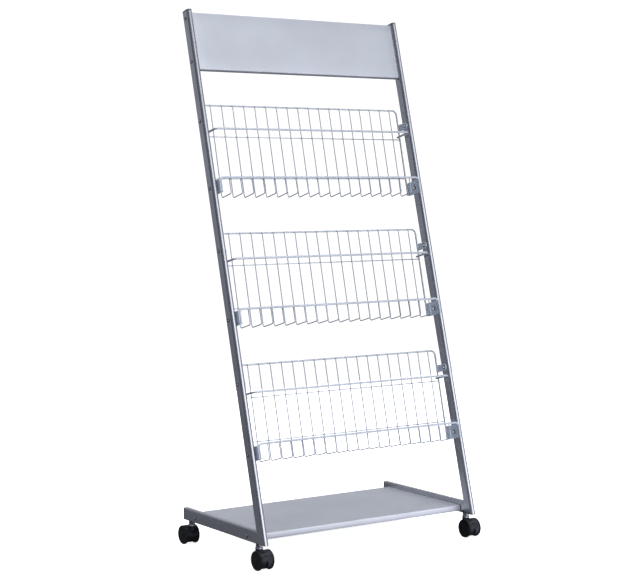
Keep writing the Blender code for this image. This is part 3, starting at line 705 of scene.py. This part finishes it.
def back_frame_mesh():
    """Upside-down U behind the J wires, with two thin wires between its legs."""
    bm = bmesh.new()
    behind = WIRE_RADIUS + END_RADIUS - WELD
    foot = PLATE_BOTTOM + 0.001
    slope = Vector((0, back_depth(foot) - back_depth(BASKET_TOP), foot - BASKET_TOP)).normalized()
    low, high = back_depth(foot) + behind, back_depth(BASKET_TOP) + behind
    corners = [(-END_WIRE_X, low, foot), (-END_WIRE_X, high, BASKET_TOP),
               (END_WIRE_X, high, BASKET_TOP), (END_WIRE_X, low, foot)]
    add_wire(bm, rounded(corners, U_BEND, 8), Vector((1, 0, 0)).cross(slope), END_RADIUS)
    for height in (SECOND_WIRE, LOW_BACK_WIRE):
        depth = back_depth(height) + 2 * WIRE_RADIUS - WELD
        ends = [Vector((side * (END_WIRE_X + 0.0012), depth, height)) for side in (-1, 1)]
        add_wire(bm, ends, (0, 0, 1), WIRE_RADIUS)
    return to_mesh(bm, "back_frame", 60.0)


def front_rails_mesh():
    """Upper front rail with its side arms, and lower front rail with its ends bent down."""
    bm = bmesh.new()
    arm_x = END_WIRE_X - END_RADIUS - RAIL_RADIUS + WELD
    tail = back_depth(UPPER_RAIL) + 0.0078
    depth = rail_depth()
    corners = [(-arm_x, tail, UPPER_RAIL), (-arm_x, depth, UPPER_RAIL), (arm_x, depth, UPPER_RAIL),
               (arm_x, tail, UPPER_RAIL)]
    add_wire(bm, rounded(corners, ARM_BEND, 8), (0, 0, 1), RAIL_RADIUS)
    leg_x = INNER_X - LEG_GAP - RAIL_RADIUS + WELD
    foot = PLATE_BOTTOM + 0.0005
    corners = [(-leg_x, depth, foot), (-leg_x, depth, LOWER_RAIL), (leg_x, depth, LOWER_RAIL),
               (leg_x, depth, foot)]
    add_wire(bm, rounded(corners, LEG_BEND, 8), (0, 1, 0), RAIL_RADIUS)
    return to_mesh(bm, "front_rails", 60.0)


def add_nugget(bm, spot, size):
    """A small flattened weld nugget."""
    matrix = Matrix.Translation(spot) @ Matrix.Diagonal((*size, 1))
    bmesh.ops.create_icosphere(bm, subdivisions=2, radius=1.0, matrix=matrix)


def welds_mesh():
    """Resistance-weld nuggets where the wires cross."""
    bm = bmesh.new()
    for x in wire_xs():
        for height in (BASKET_TOP, SECOND_WIRE, LOW_BACK_WIRE):
            depth = back_depth(height) + WIRE_RADIUS - WELD / 2
            add_nugget(bm, (x, depth, height), (0.0017, 0.0007, 0.0016))
        add_nugget(bm, (x, FRONT_DEPTH - WIRE_RADIUS + WELD / 2, LOWER_RAIL), (0.0018, 0.0008, 0.0018))
    arm_x = END_WIRE_X - END_RADIUS + WELD / 2
    for side in (-1, 1):
        depth = back_depth(UPPER_RAIL) + WIRE_RADIUS + END_RADIUS - WELD
        add_nugget(bm, (side * arm_x, depth, UPPER_RAIL), (0.0008, 0.0020, 0.0024))
        for height in (SECOND_WIRE, LOW_BACK_WIRE):
            depth = back_depth(height) + 2 * WIRE_RADIUS
            add_nugget(bm, (side * END_WIRE_X, depth, height), (0.0020, 0.0012, 0.0016))
    return to_mesh(bm, "welds", 60.0)


def bracket_mesh(side, name, stations, holes):
    """Stamped strip through stations (depth, x, low, high), with holes (depth, height, radius)."""
    rings = []
    for depth, x, low, high in stations:
        near, far = side * (x - BRACKET_HALF), side * (x + BRACKET_HALF)
        rings.append([(near, depth, low), (far, depth, low), (far, depth, high), (near, depth, high)])
    mesh = loft_mesh(name, rings)
    bm = bmesh.new()
    turn = Matrix.Rotation(math.pi / 2, 4, "Y")
    for depth, height, radius in holes:
        spot = Matrix.Translation((side * INNER_X, depth, height)) @ turn
        add_turned(bm, ((radius, -0.006), (radius, 0.006)), 32, spot)
    return boolean(mesh, to_mesh(bm, "punch"))


def bracket_meshes(side):
    """Upper and lower bracket at one end of a basket."""
    flat = INNER_X - BRACKET_GAP - PLATE_HALF
    wing = END_WIRE_X + END_RADIUS + PLATE_HALF - WELD
    upper = []
    for i in range(15):
        angle = math.radians(86 - 86 * i / 14)
        reach = LOBE_RADIUS * math.cos(angle)
        upper.append((BOLT_DEPTH - LOBE_RADIUS * math.sin(angle), flat, -reach, reach))
    bend = ((0.0265, 0.0), (0.0285, 0.12), (0.0310, 0.55), (0.0330, 0.90), (0.0345, 1.0))
    for depth, share in bend:
        upper.append((depth, flat + (wing - flat) * share, -LOBE_RADIUS, LOBE_RADIUS))
    tip = LOBE_RADIUS - PLATE_CHAMFER
    upper += [(PLATE_BACK - PLATE_CHAMFER, wing, -LOBE_RADIUS, LOBE_RADIUS), (PLATE_BACK, wing, -tip, tip)]
    low, high = PLATE_BOTTOM, PLATE_TOP
    nose = rail_depth() - 0.001
    lower = [(nose, flat, low, high)]
    for depth, share in bend:
        lower.append((depth, flat + (wing - flat) * share, low, high))
    for degrees in (0, 25, 50, 70, 90):
        angle = math.radians(degrees)
        drop = 1 - math.cos(angle)
        depth = PLATE_BACK - PLATE_CORNER * (1 - math.sin(angle))
        lower.append((depth, wing, low + PLATE_CORNER * drop, high - PLATE_CHAMFER * drop))
    keyhole = [(BOLT_DEPTH, LOWER_BOLT, 0.0036), (BOLT_DEPTH - 0.0010, LOWER_BOLT + 0.0068, 0.0022)]
    return (bracket_mesh(side, "upper_bracket", upper, [(BOLT_DEPTH, 0.0, 0.0054)]),
            bracket_mesh(side, "lower_bracket", lower, keyhole))


def make_baskets():
    """Three baskets, each placed by its upper bolt."""
    parts = {"j_wires": j_wires_mesh(), "back_frame": back_frame_mesh(), "front_rails": front_rails_mesh(),
             "welds": welds_mesh()}
    brackets = {side: bracket_meshes(side) for side, _ in SIDES}
    for number in (1, 2, 3):
        spot = middle_in(LEANING, f"left_basket_{number}_upper_bolt")
        matrix = LEANING @ Matrix.Translation((0, 0, spot.z))
        for kind, mesh in parts.items():
            replaced = (f"wire_basket_{number}",) if kind == "j_wires" else ()
            piece(f"basket_{number}_{kind}", mesh, matrix, RACK, FINISH["wire"], replaced)
        for side, word in SIDES:
            for kind, mesh in zip(("upper", "lower"), brackets[side]):
                name = f"basket_{number}_{word}_{kind}_bracket"
                soften(piece(name, mesh, matrix, RACK, FINISH["bracket"]), BRACKET_EDGE, 3, 50.0)


# Bolts -----------------------------------------------------

def middle_in(base, node):
    """Middle of a CAD node in another frame."""
    low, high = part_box(node)
    return base.inverted() @ ((low + high) / 2)


def socketed(mesh, radius, low, high):
    """The same mesh with a hexagonal socket cut into it."""
    return boolean(mesh, loft_mesh("socket", flat_rings(((radius, low), (radius, high)), 6)))


def bolt_head_mesh():
    """Low ring of a flat-topped head about +Z, its underside at 0, open in the middle."""
    profile = ((0.0021, 0.0001), (0.0036, 0.0), (0.0042, 0.0002), (0.0042, 0.0006), (0.0040, 0.0009),
               (0.0034, 0.0010), (0.0026, 0.0009), (0.0021, 0.0006))
    return loft_mesh("bolt_head", flat_rings(profile, 32), 40.0, closed=True)


def bolt_core_mesh():
    """Bright domed middle of the head with its small hexagonal socket."""
    profile = ((0.0020, -0.0010), (0.0020, 0.0007), (0.0018, 0.0010), (0.0013, 0.0012), (0.0006, 0.0013))
    return socketed(turned_mesh("bolt_core", profile, 28), 0.0009, 0.0007, 0.0030)


def recess_shade_ring_mesh():
    """Thin dark ring that a dome head sits on off centre: painted shade of the screw's recess, showing as a
    crescent.
    """
    profile = ((0.0020, 0.0), (0.0046, 0.0), (0.0049, 0.0002), (0.0046, 0.0004), (0.0020, 0.0004))
    return loft_mesh("recess_shade_ring", flat_rings(profile, 40), 40.0, closed=True)


def dome_head_mesh():
    """Painted dome head about +Z with a shallow hexagonal socket."""
    profile = ((0.0030, 0.0002), (0.0036, 0.0004), (0.0037, 0.0007), (0.0034, 0.0012), (0.0026, 0.0016),
               (0.0016, 0.0018))
    return socketed(turned_mesh("dome_head", profile, 32, 50.0), 0.0013, 0.0013, 0.0040)


def nut_mesh():
    """Flanged nut about +Z on the bolt's inner end."""
    profile = ((0.0030, 0.0), (0.0049, 0.0), (0.0050, 0.0004), (0.0048, 0.0008), (0.0036, 0.0010),
               (0.0035, 0.0017), (0.0032, 0.0019), (0.0026, 0.0019))
    return turned_mesh("flange_nut", profile, 28)


def bolt_end_mesh():
    """The bolt's domed end, standing out of the nut."""
    profile = [(0.0029, 0.0004), (0.0029, 0.0022)]
    for degrees in (15, 30, 45, 60, 75):
        angle = math.radians(degrees)
        profile.append((0.0029 * math.cos(angle), 0.0022 + 0.0018 * math.sin(angle)))
    return turned_mesh("bolt_end", profile, 28)


def make_bolts():
    """All bolts: heads on the outer faces, nuts on the inner ones."""
    head, core, nut, end = bolt_head_mesh(), bolt_core_mesh(), nut_mesh(), bolt_end_mesh()
    dome, recess_shade_ring = dome_head_mesh(), recess_shade_ring_mesh()
    for name in sorted(name for name in frame["nodes"] if "_bolt" in name):
        side = -1 if name.startswith("left") else 1
        shelf = "shelf" in name
        base = LEVEL if shelf else LEANING
        spot = middle_in(base, name)
        outward = Matrix.Rotation(side * math.pi / 2, 4, "Y")
        inward = Matrix.Rotation(-side * math.pi / 2, 4, "Y")
        outer = base @ Matrix.Translation((side * (TUBE_X + TUBE_WIDTH / 2), spot.y, spot.z)) @ outward
        inner_x = INNER_X - (UPPER_NUT_GAP if "_upper_bolt" in name else NUT_GAP)
        inner = base @ Matrix.Translation((side * inner_x, spot.y, spot.z)) @ inward
        if shelf:
            # The dome head sits off centre on the dark ring, so a black crescent shows at its front side: painted
            # shade of a recess.
            head_shifted_off_shade_ring = Matrix.Translation((0, 0.0007, 0.0002)) @ outer
            parts = [("head", dome, head_shifted_off_shade_ring, "silver"), ("recess_shade_ring", recess_shade_ring, outer, "black_steel")]
        else:
            parts = [("head", head, outer, "black_steel"), ("core", core, outer, "core")]
        parts += [("nut", nut, inner, "black_steel"), ("end", end, inner, "bolt_end")]
        for kind, mesh, matrix, finish in parts:
            replaced = (name,) if kind == "head" else ()
            piece(f"{name}_{kind}", mesh, matrix, RACK, FINISH[finish], replaced)


# Castors ---------------------------------------------------

def edge_arc(radius, x, first, fillet, steps=5):
    """(radius, x) points of a quarter round that meets a radius, its centre at x."""
    points = []
    for step in range(steps + 1):
        angle = math.radians(first - 90 * step / steps)
        points.append((radius - fillet + fillet * math.sin(angle), x + fillet * math.cos(angle)))
    return points


def wheel_mesh(side):
    """Wheel about X with a rounded tread and a shallow dished face, outer face towards side."""
    inner, outer = RIM_INNER, RIM_OUTER
    profile = [(0.0028, TREAD_INNER), (TREAD_RADIUS - 0.0010, TREAD_INNER),
               (TREAD_RADIUS - 0.0003, TREAD_INNER + 0.0003), (TREAD_RADIUS, TREAD_INNER + 0.0010),
               (TREAD_RADIUS, inner)]
    profile += edge_arc(WHEEL_RADIUS, inner + 0.0009, 180, 0.0009)
    profile += edge_arc(WHEEL_RADIUS, outer - 0.0015, 90, 0.0015)
    groove = WHEEL_RADIUS - 0.0030
    profile += [(groove + 0.0006, outer), (groove + 0.0002, outer - 0.0002), (groove, outer - 0.0006),
                (groove - 0.0010, outer - 0.0008), (0.0140, outer - 0.0006), (0.0080, outer - 0.0005),
                (0.0060, outer - 0.0005), (0.0056, outer - 0.0002), (0.0048, outer), (0.0010, outer)]
    rings = [[(side * x, a, b) for a, b in circle(radius, 64)] for radius, x in profile]
    return loft_mesh("castor_wheel", rings, 40.0)


def drum_profile(radius, half_width, fillet, steps=5):
    """(radius, x) points of a drum's rounded edges, from its left side to its right."""
    points = [(0.0030, -half_width)]
    for x, first in ((-half_width + fillet, 180), (half_width - fillet, 90)):
        points += edge_arc(radius, x, first, fillet, steps)
    return points + [(0.0030, half_width)]


def add_drum(bm, profile, sides=72):
    """A drum turned about the castor's axle."""
    rings = []
    for radius, x in profile:
        rings.append([(x, TRAIL + a, WHEEL_RADIUS + b) for a, b in circle(radius, sides)])
    add_loft(bm, rings)


def pedal_rings(inner, outer, start, end, x_range, steps=10):
    """Two outlines of an arc plate around the axle."""
    angles = [start + (end - start) * i / steps for i in range(steps + 1)]
    outline = [(outer * math.cos(a), outer * math.sin(a)) for a in angles]
    outline += [(inner * math.cos(a), inner * math.sin(a)) for a in reversed(angles)]
    return [[(x, TRAIL + y, WHEEL_RADIUS + z) for y, z in outline] for x in x_range]


def hood_mesh(braked):
    """Hollow hood: a rounded drum over the axle, open below, with the stem's neck and the brake's slots."""
    bm = bmesh.new()
    add_drum(bm, drum_profile(HOOD_RADIUS, HOOD_HALF_WIDTH, 0.0006))
    mesh = to_mesh(bm, "hood", 40.0)
    neck = ((0.0040, 0.0240), (0.0078, 0.0290), (0.0094, 0.0345), (0.0094, 0.0405), (0.0090, 0.0425),
            (0.0090, 0.0468), (0.0086, 0.0472))
    mesh = boolean(mesh, turned_mesh("neck", neck, 40), "UNION")
    bm = bmesh.new()
    web = TREAD_INNER - 0.0006
    add_drum(bm, drum_profile(HOOD_RADIUS - 0.0022, web - 0.0016, 0.0006, 2), 48)
    well, mouth = TREAD_RADIUS + 0.0007, HOOD_HALF_WIDTH + 0.002
    for side in (-1, 1):
        profile = ((0.0030, web), (well, web), (well, mouth), (0.0030, mouth))
        add_drum(bm, [(radius, side * x) for radius, x in profile])
    mesh = boolean(mesh, to_mesh(bm, "cavity"))
    bm = bmesh.new()
    add_box(bm, (-0.03, TRAIL - 0.04, -0.01), (0.03, TRAIL + 0.04, HOOD_FLOOR_GAP))
    mesh = boolean(mesh, to_mesh(bm, "opening"))
    if braked:
        start, end = PEDAL_ANGLES
        x_range = (PEDAL_X[0] - PEDAL_SLACK, PEDAL_X[1] + PEDAL_SLACK)
        pocket = pedal_rings(PEDAL_INNER - 0.0008, 0.0300, start - 0.03, end + 0.03, x_range)
        mesh = boolean(mesh, loft_mesh("pocket", pocket))
        bm = bmesh.new()
        outline = ((-0.0006, SLOT_LOW), (0.0062, SLOT_LOW), (0.0030, 0.0260), (0.0012, 0.0260))
        add_loft(bm, [[(x, y, z) for x, z in outline] for y in (TRAIL + 0.012, TRAIL + 0.030)])
        vent = Matrix.Translation((0.0045, TRAIL + 0.013, 0.0350)) @ Matrix.Rotation(-math.pi / 2.6, 4, "X")
        add_turned(bm, ((0.0017, 0.0), (0.0017, 0.016)), 20, vent)
        mesh = boolean(mesh, to_mesh(bm, "vents"))
    return mesh


def pedal_mesh():
    """Brake pedal: an arc plate with grip bars, in the castor's frame."""
    start, end = PEDAL_ANGLES
    mesh = loft_mesh("brake_pedal", pedal_rings(PEDAL_INNER, PEDAL_OUTER, start, end, PEDAL_X), 40.0)
    x_range = (PEDAL_X[0] + 0.0012, PEDAL_X[1] - 0.0012)
    bm = bmesh.new()
    for i in range(4):
        middle = start + 0.10 + i * 0.11
        add_loft(bm, pedal_rings(PEDAL_OUTER - 0.0005, PEDAL_OUTER + 0.0004, middle - 0.022, middle + 0.022,
                                 x_range, 2))
    return boolean(mesh, to_mesh(bm, "bars"), "UNION")


def slot_shade_block_mesh():
    """Near-black block inside the hood, behind the slot and the pedal: painted shade that keeps the slot dark."""
    start, end = math.radians(-36), math.radians(16)
    rings = pedal_rings(0.0140, PEDAL_INNER - 0.0012, start, end, (-0.0088, 0.0084))
    return loft_mesh("slot_shade_block", rings, 40.0)


def stem_mesh():
    """Swivel stem: pin, bright collar with rounded edges, threaded end."""
    profile = [(0.0034, 0.0312), (0.0039, 0.0318), (0.0039, 0.0474), (0.0086, 0.0474), (0.0092, 0.0479),
               (0.0092, 0.0504), (0.0088, 0.0508), (0.0039, 0.0509)]
    height = 0.0510
    while height < 0.0655:
        profile += [(0.0034, height + 0.0003), (0.0039, height + 0.0009)]
        height += 0.00125
    profile.append((0.0030, height + 0.0004))
    return turned_mesh("stem", profile, 40, 50.0)


def lock_nut_mesh(low, high):
    """Hexagonal lock nut with chamfered corners."""
    corner = NUT_ACROSS / math.sqrt(3)
    mesh = loft_mesh("lock_nut", flat_rings(((corner, low), (corner, high)), 6))
    flat, round_corner = NUT_ACROSS / 2 + 0.0001, corner + 0.0001
    profile = ((flat, low), (round_corner, low + 0.0008), (round_corner, high - 0.0008), (flat, high))
    mesh = boolean(mesh, turned_mesh("chamfer", profile, 48, 32.0), "INTERSECT")
    hole = ((0.0041, low - 0.001), (0.0041, high + 0.001))
    return boolean(mesh, turned_mesh("thread_hole", hole, 32, 32.0))


def axle_mesh():
    """Axle pin across the castor."""
    reach = RIM_OUTER - 0.0020
    profile = ((0.0022, -reach), (0.0026, -reach + 0.0005), (0.0026, reach - 0.0005), (0.0022, reach))
    matrix = Matrix.Translation((0, TRAIL, WHEEL_RADIUS)) @ Matrix.Rotation(math.pi / 2, 4, "Y")
    return turned_mesh("axle", profile, 24, matrix=matrix)


def make_castors():
    """Four castors; the front pair points forward and has brakes, so its left is the mesh's right."""
    wheels = {side: wheel_mesh(side) for side in (-1, 1)}
    hoods = {braked: hood_mesh(braked) for braked in (True, False)}
    centre = Matrix.Translation((0, TRAIL, WHEEL_RADIUS))
    pedal, slot_shade_mesh, stem, axle = pedal_mesh(), slot_shade_block_mesh(), stem_mesh(), axle_mesh()
    nut_low, nut_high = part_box("front_left_castor_lock_nut")
    nut = lock_nut_mesh(nut_low.z, nut_high.z)
    for row, braked in (("front", True), ("rear", False)):
        for side, word in SIDES:
            name = f"{row}_{word}_castor"
            swivel = f"{name}_swivel"
            spot = JOINTS[swivel]["pos_m"]
            turn = math.pi if braked else 0.0
            place = Matrix.Translation((spot[0], spot[1], 0)) @ Matrix.Rotation(turn, 4, "Z")
            piece(f"{name}_stem_pin", stem, place, RACK, FINISH["stem"], (f"{name}_stem",))
            piece(f"{name}_hex_nut", nut, place, RACK, FINISH["nut"], (f"{name}_lock_nut",))
            made = piece(f"{name}_hood_shell", hoods[braked], place, swivel, FINISH["hood"],
                         (f"{name}_hood",))
            soften(made, MOULD_EDGE, 2, 50.0)
            piece(f"{name}_axle_pin", axle, place, swivel, FINISH["zinc"], (f"{name}_axle",))
            for wheel_side, wheel_word in SIDES:
                node = f"{name}_{wheel_word}_wheel"
                facing = -wheel_side if braked else wheel_side
                piece(f"{name}_{wheel_word}_disc", wheels[facing], place @ centre, node,
                      FINISH["wheel"], (node,))
            if braked:
                made = piece(f"{name}_pedal", pedal, place, f"{name}_brake", FINISH["pedal"],
                             (f"{name}_brake_pedal",))
                soften(made, MOULD_EDGE, 2, 40.0)
                # Near-black block behind the brake slot: painted shade inside the hood.
                piece(f"{name}_slot_shade_block", slot_shade_mesh, place, swivel, FINISH["shadow"])


# Studio ----------------------------------------------------

def make_floor():
    """Plain pale floor around the rack."""
    bm = bmesh.new()
    bmesh.ops.create_grid(bm, x_segments=8, y_segments=8, size=2.6)
    mesh = to_mesh(bm, "floor")
    mesh.materials.append(floor_paint())
    floor = bpy.data.objects.new("studio_floor", mesh)
    bpy.context.scene.collection.objects.link(floor)


class Sky:
    """White room around the object: softboxes by compass angle and height, and a white backdrop."""

    def __init__(self):
        world = bpy.data.worlds.new("studio")
        bpy.context.scene.world = world
        world.use_nodes = True
        self.tree = world.node_tree
        self.link = self.tree.links.new
        way = self.tree.nodes.new("ShaderNodeSeparateXYZ")
        self.link(self.tree.nodes.new("ShaderNodeTexCoord").outputs["Generated"], way.inputs[0])
        front = self.math("MULTIPLY", way.outputs["Y"], -1.0)
        self.compass = self.math("ARCTAN2", way.outputs["X"], front)
        self.height = self.math("ARCSINE", way.outputs["Z"], 0.0)
        self.total = None

    def math(self, operation, first, second):
        node = self.tree.nodes.new("ShaderNodeMath")
        node.operation = operation
        for socket, value in zip(node.inputs, (first, second)):
            if isinstance(value, bpy.types.NodeSocket):
                self.link(value, socket)
            else:
                socket.default_value = value
        return node.outputs[0]

    def edge(self, value, start, full, strength=1.0):
        """A smooth step from nothing at start to strength at full."""
        step = self.tree.nodes.new("ShaderNodeMapRange")
        step.interpolation_type = "SMOOTHSTEP"
        fill(step, From_Min=start, From_Max=full, To_Max=strength)
        self.link(value, step.inputs["Value"])
        return step.outputs["Result"]

    def add_light(self, light):
        self.total = light if self.total is None else self.math("ADD", self.total, light)

    def ceiling(self, start, full, strength, behind):
        """Light from above, from one height in degrees to another, weaker behind the rack."""
        away = self.math("ABSOLUTE", self.compass, 0.0)
        share = self.math("MAXIMUM", self.edge(away, math.radians(140), math.radians(85)), behind)
        light = self.edge(self.height, math.radians(start), math.radians(full), strength)
        self.add_light(self.math("MULTIPLY", light, share))

    def softbox(self, compass, half_width, height, half_height, soft, strength):
        """A soft-edged panel; angles in degrees, the compass from the rack's front towards its right."""
        factors = []
        for value, middle, half in ((self.compass, compass, half_width), (self.height, height, half_height)):
            away = self.math("ABSOLUTE", self.math("SUBTRACT", value, math.radians(middle)), 0.0)
            factors.append(self.edge(away, math.radians(half + soft), math.radians(half)))
        self.add_light(self.math("MULTIPLY", self.math("MULTIPLY", *factors), strength))

    def finish(self, base, colour, shade):
        """Join the light to the world, with a plain white backdrop for the camera."""
        room = self.tree.nodes["Background"]
        tint = self.tree.nodes.new("ShaderNodeValToRGB")
        tint.color_ramp.elements[0].color = (*shade, 1.0)
        tint.color_ramp.elements[1].color = (*colour, 1.0)
        tint.color_ramp.elements[1].position = 0.5
        self.link(self.total, tint.inputs["Fac"])
        self.link(tint.outputs["Color"], room.inputs["Color"])
        strength = self.math("MAXIMUM", self.math("ADD", self.total, base), 0.02)
        self.link(strength, room.inputs["Strength"])
        backdrop = self.tree.nodes.new("ShaderNodeBackground")
        fill(backdrop, Color=(1.0, 1.0, 1.0, 1.0), Strength=1.1)
        camera_switch(self.tree, room, backdrop, "World Output")


def make_world():
    """Bright ceiling, a large softbox in front, dim panels at the right and behind."""
    sky = Sky()
    sky.ceiling(38, 62, 2.7, 0.25)
    sky.softbox(9, 20, 10, 14, 15, 2.5)
    sky.softbox(80, 40, -5, 35, 20, 0.22)
    sky.softbox(-165, 36, 17, 15, 14, 0.36)
    sky.softbox(140, 40, 8, 7, 10, 0.58)
    sky.finish(0.12, (0.92, 0.95, 1.0), (0.72, 0.80, 1.0))


def make_camera():
    """Camera at a visitor's chest height, front left of the rack."""
    data = bpy.data.cameras.new("camera")
    data.sensor_fit = "HORIZONTAL"
    data.sensor_width = 36.0
    data.lens = 92.70
    data.clip_end = 100.0
    camera = bpy.data.objects.new("camera", data)
    camera.location = (-2.3381, -3.3243, 0.9076)
    yaw, pitch = math.radians(34.641), math.radians(-3.836)
    camera.rotation_euler = (math.pi / 2 + pitch, 0, -yaw)
    bpy.context.scene.collection.objects.link(camera)
    bpy.context.scene.camera = camera


def make_studio():
    """Floor, lights, surroundings and camera."""
    make_floor()
    make_world()
    make_camera()
    bpy.context.scene.view_settings.view_transform = "Standard"


for side, word in SIDES:
    make_upright(side, word)
    make_foot_rail(side, word)
    make_weld(side, word)
    make_caps(side, word)
make_header()
make_shelf()
make_baskets()
make_bolts()
make_castors()
make_studio()

bpy.context.view_layer.update()
